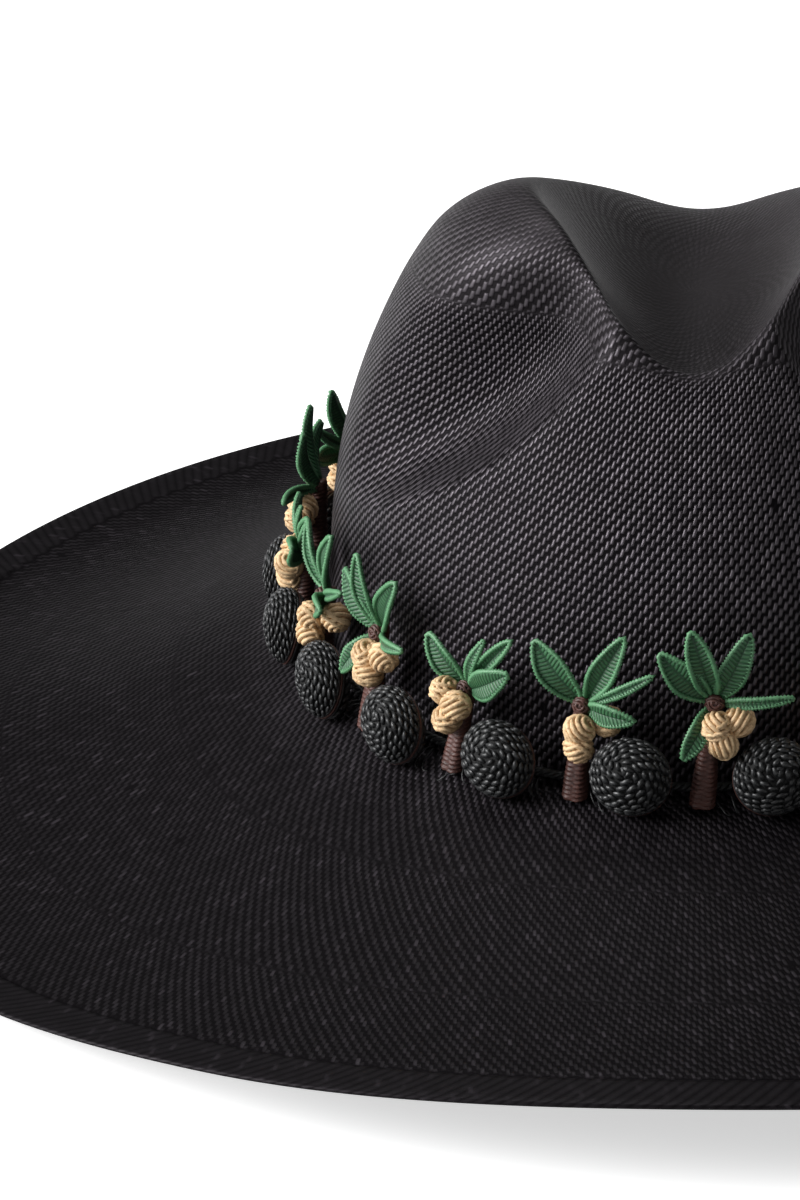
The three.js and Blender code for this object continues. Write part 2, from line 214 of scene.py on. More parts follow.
def newGroup(name, inputs, outputs):
    group = bpy.data.node_groups.new(name, "ShaderNodeTree")
    for socketName, kind, value in inputs:
        socket = group.interface.new_socket(name=socketName, in_out="INPUT", socket_type=kind)
        if value is not None:
            socket.default_value = value
    for socketName in outputs:
        group.interface.new_socket(
            name=socketName, in_out="OUTPUT", socket_type="NodeSocketFloat"
        )
    entry = addNode(group, "NodeGroupInput")
    leave = addNode(group, "NodeGroupOutput")
    return group, entry, leave


def newMaterial(name):
    material = bpy.data.materials.new(name)
    material.use_nodes = True
    tree = material.node_tree
    return material, tree, tree.nodes["Principled BSDF"]


def makeWeaveGroup():  # u counts strands round the hat, v counts woven rows outwards
    group, entry, leave = newGroup(
        "diagonalWeave",
        [
            ("UV", "NodeSocketVector", None),
            ("Position", "NodeSocketVector", None),
            ("Wander", "NodeSocketFloat", 0.25),
            ("Pits", "NodeSocketFloat", 0.0012),
        ],
        ["Height", "Strand", "Pit"],
    )
    wanderNoise = addNode(
        group,
        "ShaderNodeTexNoise",
        {"Vector": entry.outputs["Position"], "Scale": straw["wanderScale"], "Detail": 2.0},
    )
    parts = addNode(group, "ShaderNodeSeparateXYZ", {"Vector": entry.outputs["UV"]})
    noiseParts = addNode(group, "ShaderNodeSeparateXYZ", {"Vector": wanderNoise.outputs["Color"]})
    moved = []
    for axis in ("X", "Y"):
        shift = maths(group, "SUBTRACT", noiseParts.outputs[axis], 0.5)
        shift = maths(group, "MULTIPLY", shift, entry.outputs["Wander"])
        moved.append(maths(group, "ADD", parts.outputs[axis], shift))
    # The pads where a strand crosses over stand in columns half a strand apart, each column half
    # a pad up from the last. They lean, so a pad reaches into the columns beside its own.
    across = maths(group, "MULTIPLY", moved[0], 2.0)
    column = maths(group, "FLOOR", across)
    inColumn = maths(group, "SUBTRACT", maths(group, "SUBTRACT", across, column), 0.5)
    height = strand = None
    for step in (0, -1, 1):
        own = maths(group, "ADD", column, step)
        along = maths(group, "MULTIPLY", maths(group, "ADD", own, moved[1]), 0.5)
        inside = maths(group, "SUBTRACT", maths(group, "FRACT", along), 0.5)
        aside = maths(group, "SUBTRACT", inColumn, step)
        aside = maths(group, "MULTIPLY_ADD", inside, straw["padLean"], aside)
        aside = maths(group, "DIVIDE", aside, straw["padHalfWidth"])
        ends = maths(group, "DIVIDE", maths(group, "ABSOLUTE", inside), straw["padHalfLength"])
        ends = maths(group, "SUBTRACT", 1.0, maths(group, "POWER", ends, 4.0), clamp=True)
        sides = maths(group, "SUBTRACT", 1.0, maths(group, "MULTIPLY", aside, aside), clamp=True)
        cell = addNode(group, "ShaderNodeCombineXYZ", {"X": own, "Y": maths(group, "FLOOR", along)})
        scatter = addNode(
            group, "ShaderNodeTexWhiteNoise", {"Vector": cell.outputs[0]}, noise_dimensions="2D"
        )
        chance = scatter.outputs["Value"]
        uneven = maths(group, "MULTIPLY_ADD", chance, straw["padUneven"], straw["padLeast"])
        pad = maths(group, "MULTIPLY", ends, maths(group, "SQRT", sides))
        pad = maths(group, "MULTIPLY", pad, uneven)
        if height is None:
            height, strand = pad, chance
            continue
        higher = maths(group, "GREATER_THAN", pad, height)
        height = maths(group, "MAXIMUM", height, pad)
        change = maths(group, "SUBTRACT", chance, strand)
        strand = maths(group, "MULTIPLY_ADD", higher, change, strand)
    pit = maths(group, "LESS_THAN", strand, entry.outputs["Pits"])
    sunk = maths(group, "MULTIPLY_ADD", pit, -straw["pitDepth"], 1.0)
    height = maths(group, "MULTIPLY", height, sunk)
    height = maths(group, "MAXIMUM", height, straw["underLayer"])
    group.links.new(height, leave.inputs["Height"])
    group.links.new(strand, leave.inputs["Strand"])
    group.links.new(pit, leave.inputs["Pit"])
    return group


def makeFibreGroup():  # fine uneven fibres, for the wound and stitched pieces
    group, entry, leave = newGroup(
        "rawFibre",
        [("Position", "NodeSocketVector", None), ("Scale", "NodeSocketFloat", 900.0)],
        ["Fibre", "Patch"],
    )
    position = entry.outputs["Position"]
    fineInputs = {"Vector": position, "Scale": entry.outputs["Scale"], "Detail": 3.0, "Roughness": 0.6}
    fine = addNode(group, "ShaderNodeTexNoise", fineInputs)
    wideInputs = {"Vector": position, "Scale": 180.0, "Detail": 2.0}  # patches about 5 mm across
    wide = addNode(group, "ShaderNodeTexNoise", wideInputs)
    group.links.new(fine.outputs["Fac"], leave.inputs["Fibre"])
    group.links.new(wide.outputs["Fac"], leave.inputs["Patch"])
    return group


fibreGroup = makeFibreGroup()


def meshFrom(shape, name):
    mesh = bpy.data.meshes.new(name)
    shape.to_mesh(mesh)
    shape.free()
    return mesh


def spinProfile(shape, profile, steps):  # turns a profile in the XZ or YZ plane round Z
    line = [shape.verts.new(point) for point in profile]
    edges = [shape.edges.new(pair) for pair in zip(line, line[1:])]
    bmesh.ops.spin(
        shape, geom=line + edges, axis=(0, 0, 1), cent=(0, 0, 0),
        angle=2 * math.pi, steps=steps, use_merge=True,
    )


def spherePoint(polar, turn, reach):
    side = math.sin(polar)
    return Vector((side * math.cos(turn), side * math.sin(turn), math.cos(polar))) * reach


def finishPiece(name, shape, materials, nodes):
    for face in shape.faces:
        face.smooth = True
    bmesh.ops.scale(shape, vec=Vector((metre, metre, metre)), verts=shape.verts)
    mesh = meshFrom(shape, name)
    for material in materials:
        mesh.materials.append(material)
    piece = bpy.data.objects.new(name, mesh)
    bpy.context.scene.collection.objects.link(piece)
    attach(piece, "root")
    if nodes:
        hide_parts(*nodes)
    return piece


# Straw body

straw = {
    "turnSteps": 256,
    "crownRows": 80,
    "brimRows": 46,
    "rowShare": 0.54,  # height of a woven row as a share of the strand spacing
    # Strands round the hat from each radius outwards
    "growth": [
        (0, 12), (7, 20), (12, 36), (20, 60), (32, 96),
        (48, 140), (71, 222), (98, 270), (130, 350), (172, 440),
    ],
    "wanderScale": 130.0,
    "padLean": 0.65,  # columns that a pad leans over its length
    "padHalfLength": 0.45,
    "padHalfWidth": 0.39,
    "padLeast": 0.8,  # a pad's height lies between this and this with the next added
    "padUneven": 0.3,
    "pitDepth": 0.75,  # share of its height that a missing pad loses
    "underLayer": 0.12,  # height of the strands that pass below, as a share of a pad's
    "toothHeight": 1.7,  # rows that the border's jagged line rises and falls
    "borderLead": 0.6,
    "borderFade": 1.8,
    "borderSlant": 0.39,
    "borderRidge": 0.45,
    "borderLow": 0.2,
    "seamFade": 1.2,
    "joinPower": 5.0,
    "joinHeight": 0.3,
    "grooveDepth": 0.5,
    "grooveWidth": 0.7,
    "edgeRound": 0.8,
    "edgeRow": 0.6,  # rows of weave in each step round the edge
    "edgeThin": 0.4,  # the straw thins to this share at the rounded edge
    # dark is the colour in the gaps between pads, painted shade there; light is the colour of the pads'
    # tops
    "dark": (0.003, 0.0026, 0.003),
    "light": (0.027, 0.0232, 0.0275),
    "bump": 0.42,
    "sheen": (1.0, 0.9, 1.0),
    "brimToneAndShade": 0.28,  # the brim is darker and less glossy than the crown: partly its own duller straw, partly painted shade of its weave seen at a low angle
    "brimRelief": 0.5,  # and its strands are pressed flatter
    "brimEven": 0.4,  # and lighter and darker strands differ less
    "paintedGlintPower": 20.0,  # painted highlight: a few random pads on the brim get a lighter colour, standing in for glints
    "paintedGlint": 0.5,
    # the crease in the crown's top is blended to this one flat tone: partly the straw's olive-brown tint,
    # partly painted light, its brightness set to how the crease is lit
    "creaseTintAndPaintedLight": (0.0062, 0.0053, 0.0048),
    "poleRows": 66.0,  # over which the relief fades in from the middle of the crown
    "poleHeight": 0.75,
}


weaveGroup = makeWeaveGroup()


def strandsAt(radius):
    return max(count for start, count in straw["growth"] if radius >= start)


def makeStrawMaterial(footRow, borderRow):  # on the brim the lines slant the other way
    material, tree, shader = newMaterial("wovenStraw")
    coordinates = addNode(tree, "ShaderNodeTexCoord")
    uv = addNode(tree, "ShaderNodeUVMap", uv_map="weave")
    weave = addNode(tree, "ShaderNodeGroup", node_tree=weaveGroup)
    parts = addNode(tree, "ShaderNodeSeparateXYZ", {"Vector": uv.outputs[0]})
    around, row = parts.outputs["X"], parts.outputs["Y"]
    fromFoot = maths(tree, "ABSOLUTE", maths(tree, "SUBTRACT", row, footRow))
    mirroredRow = maths(tree, "SUBTRACT", footRow, fromFoot)
    mirrored = addNode(tree, "ShaderNodeCombineXYZ", {"X": around, "Y": mirroredRow})
    tree.links.new(mirrored.outputs[0], weave.inputs["UV"])
    tree.links.new(coordinates.outputs["Object"], weave.inputs["Position"])
    fibre = addNode(tree, "ShaderNodeGroup", {"Scale": 1500.0}, node_tree=fibreGroup)
    tree.links.new(coordinates.outputs["Object"], fibre.inputs["Position"])

    def towards(start, end, share):  # from start to end by a share
        kept = maths(tree, "MULTIPLY", start, maths(tree, "SUBTRACT", 1.0, share))
        return maths(tree, "ADD", kept, maths(tree, "MULTIPLY", share, end))

    # The back-woven border: its strands slant the other way, and it starts in a jagged line
    tooth = maths(tree, "PINGPONG", maths(tree, "MULTIPLY", around, 0.5), 0.5)
    jagged = maths(tree, "MULTIPLY_ADD", tooth, straw["toothHeight"], borderRow - straw["borderLead"])
    fromBorder = maths(tree, "SUBTRACT", row, jagged)
    inBorder = maths(tree, "MULTIPLY", fromBorder, straw["borderFade"], clamp=True)
    slant = maths(tree, "FRACT", maths(tree, "MULTIPLY_ADD", row, straw["borderSlant"], around))
    ridge = maths(tree, "SINE", maths(tree, "MULTIPLY", slant, math.pi))
    ridge = maths(tree, "MULTIPLY_ADD", ridge, straw["borderRidge"], straw["borderLow"])
    seam = maths(tree, "MULTIPLY", maths(tree, "ABSOLUTE", fromBorder), straw["seamFade"])
    seam = maths(tree, "SUBTRACT", 1.0, seam, clamp=True)
    height = towards(weave.outputs["Height"], ridge, inBorder)
    height = maths(tree, "MULTIPLY", height, maths(tree, "SUBTRACT", 1.0, seam))

    # Where strands are added, no pad is cut off, and towards the pole the relief fades out to one flat
    # height, set high so that the crease's colour and gloss are brighter: painted light
    join = addNode(tree, "ShaderNodeAttribute", attribute_name="strandJoin")
    join = maths(tree, "POWER", join.outputs["Fac"], straw["joinPower"])
    height = towards(height, straw["joinHeight"], join)
    nearPole = maths(tree, "DIVIDE", row, straw["poleRows"])
    nearPole = maths(tree, "SUBTRACT", 1.0, nearPole, clamp=True)
    nearPole = maths(tree, "POWER", nearPole, 0.6)
    height = towards(height, straw["poleHeight"], nearPole)

    # Share of the way from the crown's foot on to the brim
    place = addNode(tree, "ShaderNodeSeparateXYZ", {"Vector": coordinates.outputs["Object"]})
    across = maths(tree, "DIVIDE", place.outputs["X"], hat["headHalfWidth"] * metre)
    along = maths(tree, "DIVIDE", place.outputs["Y"], hat["headHalfLength"] * metre)
    squares = [maths(tree, "MULTIPLY", value, value) for value in (across, along)]
    spread = maths(tree, "SQRT", maths(tree, "ADD", *squares))
    onBrim = maths(tree, "MULTIPLY", maths(tree, "SUBTRACT", spread, 1.0), 4.0, clamp=True)
    # Partly the brim's own duller straw, partly painted shade: the brim's colour and gloss are darkened
    dullAndShadedBrim = maths(tree, "MULTIPLY_ADD", onBrim, straw["brimToneAndShade"] - 1.0, 1.0)
    height = towards(height, 0.5, maths(tree, "MULTIPLY", onBrim, straw["brimEven"]))

    # Colour and gloss. Both follow the relief's height, so the gaps between pads are made darker and less
    # glossy: painted shade
    shade = maths(tree, "MULTIPLY", maths(tree, "POWER", height, 1.4), dullAndShadedBrim)
    strandTone = maths(tree, "MULTIPLY_ADD", weave.outputs["Strand"], 0.7, 0.6)
    shade = maths(tree, "MULTIPLY", shade, strandTone)
    # Painted highlight: a few random pads on the brim are given a lighter colour
    paintedGlint = maths(tree, "POWER", weave.outputs["Strand"], straw["paintedGlintPower"])
    paintedGlint = maths(tree, "MULTIPLY", maths(tree, "MULTIPLY", paintedGlint, onBrim), straw["paintedGlint"])
    shade = maths(tree, "MULTIPLY_ADD", paintedGlint, weave.outputs["Height"], shade)
    patch = maths(tree, "MULTIPLY_ADD", fibre.outputs["Patch"], 0.8, 0.6)
    shade = maths(tree, "MULTIPLY", shade, patch, clamp=True)
    strandColour = blendColours(tree, shade, straw["dark"], straw["light"])
    # Painted light: round the pole the colour is blended to one flat tone, partly tint, partly the crease's
    # lit brightness
    colour = blendColours(tree, nearPole, strandColour, straw["creaseTintAndPaintedLight"])
    tree.links.new(colour, shader.inputs["Base Color"])
    roughness = maths(tree, "MULTIPLY_ADD", fibre.outputs["Fibre"], 0.3, 0.34)
    tree.links.new(roughness, shader.inputs["Roughness"])
    gloss = maths(tree, "MULTIPLY", maths(tree, "POWER", height, 1.6), 0.95)
    gloss = maths(tree, "MULTIPLY", gloss, dullAndShadedBrim)
    tree.links.new(gloss, shader.inputs["Specular IOR Level"])
    shader.inputs["Specular Tint"].default_value = (*straw["sheen"], 1.0)

    pressed = maths(tree, "MULTIPLY_ADD", onBrim, straw["brimRelief"] - 1.0, 1.0)
    relief = maths(tree, "MULTIPLY_ADD", fibre.outputs["Fibre"], 0.12, height)
    relief = maths(tree, "MULTIPLY", relief, pressed)
    bumpInputs = {"Strength": 1.0, "Distance": straw["bump"] * metre, "Height": relief}
    bump = addNode(tree, "ShaderNodeBump", bumpInputs)
    tree.links.new(bump.outputs[0], shader.inputs["Normal"])
    return material


def makeStrawBody():
    rings = [(crownPoint, step / straw["crownRows"]) for step in range(straw["crownRows"] + 1)]
    outs = [0.5, 1.1, 1.9, 3.0]
    brimReach = borderStart - 1.2 - outs[-1]
    rowStep = brimReach / straw["brimRows"]
    outs += [3.0 + rowStep * step for step in range(1, straw["brimRows"] + 1)]
    outs += [borderStart + shift for shift in (-0.7, -0.3, 0.1, 0.5, 1.0, 2.2)]
    edge = hat["brimWidth"] - straw["edgeRound"]
    borderOut, borderSteps = outs[-1], 4
    outs += [borderOut + (edge - borderOut) * (step + 1) / borderSteps for step in range(borderSteps)]
    rings += [(brimPoint, out) for out in outs]
    roundShares = (0.4, 0.75, 1.0)

    # Rows of weave up to each ring, and the strands that each band of faces holds
    rowAt, strandCount, meridian = [0.0], [], None
    for maker, value in rings:
        if maker is crownPoint:
            place = value * (len(crownRise) - 1)
            radius = hat["meanRadius"] * smoothAt(crownSpread, place)
            here = Vector((radius, hat["crownHeight"] * max(smoothAt(crownRise, place), 0.0)))
        else:
            radius = hat["meanRadius"] + value
            here = Vector((radius, 0.0))
        if meridian is not None:
            middle = (radius + meridian.x) / 2
            strands = strandsAt(middle)
            strandCount.append(strands)
            rowHeight = straw["rowShare"] * 2 * math.pi * middle / strands
            rowAt.append(rowAt[-1] + (here - meridian).length / rowHeight)
        meridian = here
    for share in roundShares:
        strandCount.append(strandCount[-1])
        rowAt.append(rowAt[-1] + straw["edgeRow"])
    ringCount = len(rings) + len(roundShares)
    footRow = rowAt[straw["crownRows"]]

    shape = bmesh.new()
    wallShare = shape.verts.layers.deform.verify()
    joinLayer = shape.verts.layers.float.new("strandJoin")
    spinProfile(shape, [(0, -ring, 0) for ring in range(ringCount)], straw["turnSteps"])
    bmesh.ops.remove_doubles(shape, verts=shape.verts, dist=0.001)

    flat = {}  # each vertex's ring and turn on the disc
    for vert in shape.verts:
        ring = round(math.hypot(vert.co.x, vert.co.y))
        flat[vert] = (ring, math.atan2(vert.co.x, -vert.co.y))
    weaveMap = shape.loops.layers.uv.new("weave")
    for face in shape.faces:
        centre = face.calc_center_median()
        middleTurn = math.atan2(centre.x, -centre.y)
        band = max(flat[vert][0] for vert in face.verts) - 1
        for loop in face.loops:
            ring, turn = flat[loop.vert]
            if ring == 0:
                turn = middleTurn
            turn += 2 * math.pi * round((middleTurn - turn) / (2 * math.pi))
            loop[weaveMap].uv = (turn / (2 * math.pi) * strandCount[band], rowAt[ring])

    for vert, (ring, turn) in flat.items():
        if ring < len(rings):
            maker, value = rings[ring]
            point = maker(turn, value)
            if maker is brimPoint:
                inGroove = math.exp(-(((value - borderStart) / straw["grooveWidth"]) ** 2))
                point.z -= straw["grooveDepth"] * inGroove
        else:
            share = roundShares[ring - len(rings)]
            point = brimPoint(turn, edge + straw["edgeRound"] * math.sin(share * math.pi / 2))
            point.z -= straw["edgeRound"] * (1 - math.cos(share * math.pi / 2))
        inEdge = ring >= len(rings)
        point.z = max(point.z, hat["strawWall"] - (straw["edgeRound"] if inEdge else 0.0))
        vert.co = point
        inMiddle = 0 < ring < len(strandCount)
        strandsChange = inMiddle and strandCount[ring] != strandCount[ring - 1]
        vert[joinLayer] = 1.0 if strandsChange else 0.0
        vert[wallShare][0] = straw["edgeThin"] if inEdge else 1.0
    bmesh.ops.recalc_face_normals(shape, faces=shape.faces)
    topFace = max(shape.faces, key=lambda face: face.calc_center_median().z)
    if topFace.normal.z < 0:
        bmesh.ops.reverse_faces(shape, faces=shape.faces)

    borderRow = rowAt[len(rings) - borderSteps - 4]  # at the third of the six shifts above
    material = makeStrawMaterial(footRow, borderRow)
    piece = finishPiece("wovenBody", shape, [material], ["straw_body"])
    wall = piece.modifiers.new("strawWall", "SOLIDIFY")
    wall.thickness = hat["strawWall"] * metre
    wall.offset = -1
    piece.vertex_groups.new(name="wall")
    wall.vertex_group = "wall"
    print("straw body:", len(piece.data.polygons), "faces, border from row", round(borderRow, 1))
    return piece


makeStrawBody()


# Trim

trim = {
    "motifCount": 21,
    "start": 2.4,
    "seatGap": 0.3,
    "cordDiameter": 2.2,
    "cordGap": 0.7,
    "ballDiameter": 18.0,
    "ballDepth": 11.4,  # the balls are flatter from the crown outwards
    "ballOut": 10.6,  # from the crown's foot to the balls' middles
    "palmShift": 2.8,
    "trunkFootRadius": 3.0,
    "trunkTopRadius": 1.8,
    "trunkHeight": 24.0,
    "trunkLean": 2.2,
    "nutRadius": 3.7,
    "leafLength": 18.5,
    "leafWidth": 7.0,
    "leafRoot": 1.3,
    "leafArch": 1.6,
}
# Three palm patterns in turn. Leaves: turn, lean, length, width. Nuts: across, up, out.
palmPatterns = [
    {
        "sway": 2.8,
        "height": 1.05,
        "leaves": [
            (-49, 6, 0.86, 1.0), (-17, 11, 0.98, 0.93), (30, 5, 0.92, 0.93),
            (78, 14, 0.9, 0.45), (-141, 25, 0.7, 0.75),
        ],
        "nuts": [(0.4, -5.6, 0.7), (5.2, -5, 0.3), (1.7, -9.5, 0.8)],
    },
    {
        "sway": 3.0,
        "height": 0.87,
        "leaves": [(-39, 8, 0.75, 1.0), (16, 6, 0.74, 0.42), (41, -1, 1.0, 0.62), (64, 14, 0.9, 1.0)],
        "nuts": [(-4.2, -2.2, 0.4), (0.4, -4, 0.8), (-2.6, -8.2, 0.7)],
    },
    {
        "sway": 1.4,
        "height": 0.955,
        "leaves": [(-36, 5, 0.91, 1.12), (29, 5, 1.05, 0.87), (62, 6, 1.0, 0.4), (84, 20, 0.72, 0.76)],
        "nuts": [(0.6, -5.8, 0.7), (5.6, -4.8, -0.5), (0.6, -9.9, 0.8)],
    },
]
ballRadius = trim["ballDiameter"] / 2
cordRadius = trim["cordDiameter"] / 2
bendRoom = hat["footRadius"] - cordRadius - trim["cordGap"]
cordInset = hat["footRadius"] - bendRoom * math.sqrt(0.5)
trunkOffset = cordInset + cordRadius + trim["seatGap"] + trim["trunkFootRadius"]


def trimPlace(turn):
    halfWidth, halfLength = hat["headHalfWidth"], hat["headHalfLength"]
    foot = Vector((halfWidth * math.sin(turn), -halfLength * math.cos(turn), 0))
    out = Vector((halfLength * math.sin(turn), -halfWidth * math.cos(turn), 0)).normalized()
    return foot, out, math.atan2(out.x, -out.y)


def evenTurns(count, start):
    samples = 1440
    lengths, before = [0.0], None
    for sample in range(samples + 1):
        foot, out, _ = trimPlace(sample / samples * 2 * math.pi)
        here = foot + out * trim["ballOut"]
        if before is not None:
            lengths.append(lengths[-1] + (here - before).length)
        before = here
    turns = []
    for index in range(count):
        wanted = (start + index * lengths[-1] / count) % lengths[-1]
        after = max(next(place for place, length in enumerate(lengths) if length > wanted), 1)
        share = (wanted - lengths[after - 1]) / (lengths[after] - lengths[after - 1])
        turns.append((after - 1 + share) / samples * 2 * math.pi)
    return turns


def strandMesh(points, radii, closed=False, sides=3):  # a round strand along points
    curve = bpy.data.curves.new("strand", "CURVE")
    curve.dimensions = "3D"
    curve.bevel_depth = 1.0
    curve.bevel_resolution = sides - 2
    curve.use_fill_caps = not closed
    spline = curve.splines.new("POLY")
    spline.points.add(len(points) - 1)
    for place, (point, radius) in enumerate(zip(points, radii)):
        spline.points[place].co = (*point, 1.0)
        spline.points[place].radius = radius
    spline.use_cyclic_u = closed
    holder = bpy.data.objects.new("strand", curve)
    mesh = bpy.data.meshes.new_from_object(holder)
    bpy.data.objects.remove(holder)
    bpy.data.curves.remove(curve)
    return mesh


def addMesh(shape, mesh, materialIndex, matrix=None):
    placed = mesh.copy()
    if matrix is not None:
        placed.transform(matrix)
    placed.polygons.foreach_set("material_index", [materialIndex] * len(placed.polygons))
    shape.from_mesh(placed)
    bpy.data.meshes.remove(placed)


# Palms

palm = {
    "leafRows": 18,
    "leafColumns": 8,
    "rimRadius": 0.52,
    "rimSwell": (0.66, 1.36),  # shares of the radius between and at the stitches
    "rimStitch": 0.8,  # half the spacing of the stitches over the rim
    "veinDepth": 0.55,
    "leafCup": 0.5,
    "sheet": 0.6,
    "wrapSpacing": 1.05,
    "trunkSides": 18,
    "nutStrand": 0.55,
    "leafStitch": 1.0,
    "leafBump": 0.24,
    "leafRoughness": 0.5,
    "leafDark": (0.008, 0.04, 0.017),
    "leafLight": (0.042, 0.145, 0.06),
    "rimLight": (0.1, 0.26, 0.125),
    "nutDark": (0.2, 0.085, 0.024),
    "nutLight": (0.76, 0.54, 0.31),
    "trunkDark": (0.008, 0.003, 0.0025),
    "trunkLight": (0.09, 0.034, 0.026),
}


def makeLeafMaterial():
    material, tree, shader = newMaterial("leafStitches")
    coordinates = addNode(tree, "ShaderNodeTexCoord")
    uv = addNode(tree, "ShaderNodeUVMap", uv_map="stitch")
    parts = addNode(tree, "ShaderNodeSeparateXYZ", {"Vector": uv.outputs[0]})
    fibre = addNode(tree, "ShaderNodeGroup", {"Scale": 2200.0}, node_tree=fibreGroup)
    tree.links.new(coordinates.outputs["Object"], fibre.inputs["Position"])
    fromVein = maths(tree, "ABSOLUTE", parts.outputs["X"])
    slanted = maths(tree, "MULTIPLY_ADD", fromVein, -0.45, parts.outputs["Y"])
    slanted = maths(tree, "ADD", slanted, maths(tree, "MULTIPLY", fibre.outputs["Patch"], 0.7))
    stitch = maths(tree, "FRACT", maths(tree, "DIVIDE", slanted, palm["leafStitch"]))
    ridge = maths(tree, "SINE", maths(tree, "MULTIPLY", stitch, math.pi))
    vein = maths(tree, "SUBTRACT", 1.0, maths(tree, "DIVIDE", fromVein, 0.42), clamp=True)
    # Painted shade: the colour darkens in the grooves between stitch ridges and along the middle vein,
    # where the bump lowers the leaf too
    shade = maths(tree, "MULTIPLY", ridge, maths(tree, "SUBTRACT", 1.0, vein))
    patch = maths(tree, "MULTIPLY_ADD", fibre.outputs["Patch"], 1.1, 0.35)
    shade = maths(tree, "MULTIPLY", maths(tree, "MULTIPLY", shade, patch, clamp=True), 0.85)
    shade = maths(tree, "MULTIPLY_ADD", fibre.outputs["Fibre"], 0.22, shade, clamp=True)
    colour = blendColours(tree, shade, palm["leafDark"], palm["leafLight"])
    tree.links.new(colour, shader.inputs["Base Color"])
    shader.inputs["Roughness"].default_value = palm["leafRoughness"]
    bumpInputs = {"Strength": 0.9, "Distance": palm["leafBump"] * metre, "Height": shade}
    bump = addNode(tree, "ShaderNodeBump", bumpInputs)
    tree.links.new(bump.outputs[0], shader.inputs["Normal"])
    return material


def makeStrandMaterial(name, dark, light, roughness, scale, specular=0.5):
    material, tree, shader = newMaterial(name)
    coordinates = addNode(tree, "ShaderNodeTexCoord")
    fibre = addNode(tree, "ShaderNodeGroup", {"Scale": scale}, node_tree=fibreGroup)
    tree.links.new(coordinates.outputs["Object"], fibre.inputs["Position"])
    patch = maths(tree, "MULTIPLY_ADD", fibre.outputs["Patch"], 1.6, 0.5)
    shade = maths(tree, "MULTIPLY", fibre.outputs["Fibre"], patch)
    shade = maths(tree, "MULTIPLY_ADD", shade, 1.8, -0.35, clamp=True)
    tree.links.new(blendColours(tree, shade, dark, light), shader.inputs["Base Color"])
    shader.inputs["Roughness"].default_value = roughness
    shader.inputs["Specular IOR Level"].default_value = specular
    bumpInputs = {"Strength": 0.7, "Distance": 0.18 * metre, "Height": fibre.outputs["Fibre"]}
    bump = addNode(tree, "ShaderNodeBump", bumpInputs)
    tree.links.new(bump.outputs[0], shader.inputs["Normal"])
    return material


def leafHalf(along):
    return max(math.sin(math.pi * min(max(along, 0.0), 1.0)), 0.0) ** 0.62


def addLeaf(shape, start, turn, lean, lengthShare, widthShare, stitchMap):
    turned, leant = math.radians(turn), math.radians(lean)
    flat = Vector((math.sin(turned), 0, math.cos(turned)))
    outwards = Vector((0, -1, 0))
    ahead = flat * math.cos(leant) + outwards * math.sin(leant)
    aside = outwards.cross(flat).normalized()
    face = ahead.cross(aside).normalized()
    length = lengthShare * trim["leafLength"]
    halfWidth = widthShare * trim["leafWidth"] / 2 - palm["rimRadius"]
    cup = palm["leafCup"] * min(widthShare, 1)
    vein = palm["veinDepth"] * min(widthShare, 1)
    sweep = dice.uniform(-1.3, 1.3)  # how far the tip bends sideways
    wave = dice.uniform(0, 6.28)

    def leafPoint(side, along, lift=0.0):
        half = halfWidth * leafHalf(along) * (1 + 0.05 * math.sin(9 * along + wave))
        height = trim["leafArch"] * math.sin(along * math.pi) + cup * side * side * leafHalf(along)
        height -= vein * max(1 - abs(side) * 3, 0) * leafHalf(along)
        onLine = start + ahead * (trim["leafRoot"] + along * length)
        return onLine + aside * (side * half + sweep * along**2) + face * (height + lift)

    columns, rows = palm["leafColumns"], palm["leafRows"]
    grid = bmesh.ops.create_grid(shape, x_segments=columns, y_segments=rows, size=1)
    faces = list({linked for vert in grid["verts"] for linked in vert.link_faces})
    for leafFace in faces:
        leafFace.material_index = 0
        for loop in leafFace.loops:
            side, along = loop.vert.co.x, (loop.vert.co.y + 1) / 2
            loop[stitchMap].uv = (side * halfWidth * leafHalf(along), along * length)
    for vert in grid["verts"]:
        vert.co = leafPoint(vert.co.x, 0.02 + 0.96 * (vert.co.y + 1) / 2)
    bmesh.ops.recalc_face_normals(shape, faces=faces)
    bmesh.ops.solidify(shape, geom=faces, thickness=palm["sheet"])

    # The raised rim, whipped with stitches: its radius swells at each of them
    count = max(round(length * 2.2 / palm["rimStitch"]), 24)
    points, radii = [], []
    for step in range(2 * count):
        share = step / (2 * count)
        along = 1 - abs(2 * share - 1)
        side = -1 if share < 0.5 else 1
        if step in (0, count):
            side = 0
        points.append(leafPoint(side, along, 0.1))
        swell = palm["rimSwell"][step % 2] + dice.uniform(-0.12, 0.12)
        radii.append(palm["rimRadius"] * swell)
    rim = strandMesh(points, radii, closed=True, sides=3)
    addMesh(shape, rim, 1)
    bpy.data.meshes.remove(rim)


def makeNutMesh():  # a nut is one strand wound twice over a core, the second time across the first
    strand = palm["nutStrand"]
    shape = bmesh.new()
    bmesh.ops.create_icosphere(shape, subdivisions=2, radius=trim["nutRadius"] - 1.5 * strand)
    windings = [(6.6, 0.0, 0.06, 0.88), (2.1, 0.95, 0.36, 0.28)]  # turns, tilt, start and width of the band
    for winding, (turns, tilt, first, band) in enumerate(windings):
        reach = trim["nutRadius"] - strand * (1.25 - 0.35 * winding)
        steps = 14
        count = round(turns * steps)
        points = []
        for step in range(count + 1):
            polar = math.pi * (first + band * step / count)
            turn = 2 * math.pi * step / steps
            lift = 1 + 0.035 * math.sin(2.7 * turn + winding)
            points.append(spherePoint(polar, turn, reach) * lift)
        radii = [strand * (1 + 0.12 * math.sin(1.9 * step)) for step in range(count + 1)]
        coil = strandMesh(points, radii, sides=3)
        addMesh(shape, coil, 0, Matrix.Rotation(tilt, 4, "X"))
        bpy.data.meshes.remove(coil)
    return meshFrom(shape, "nut")


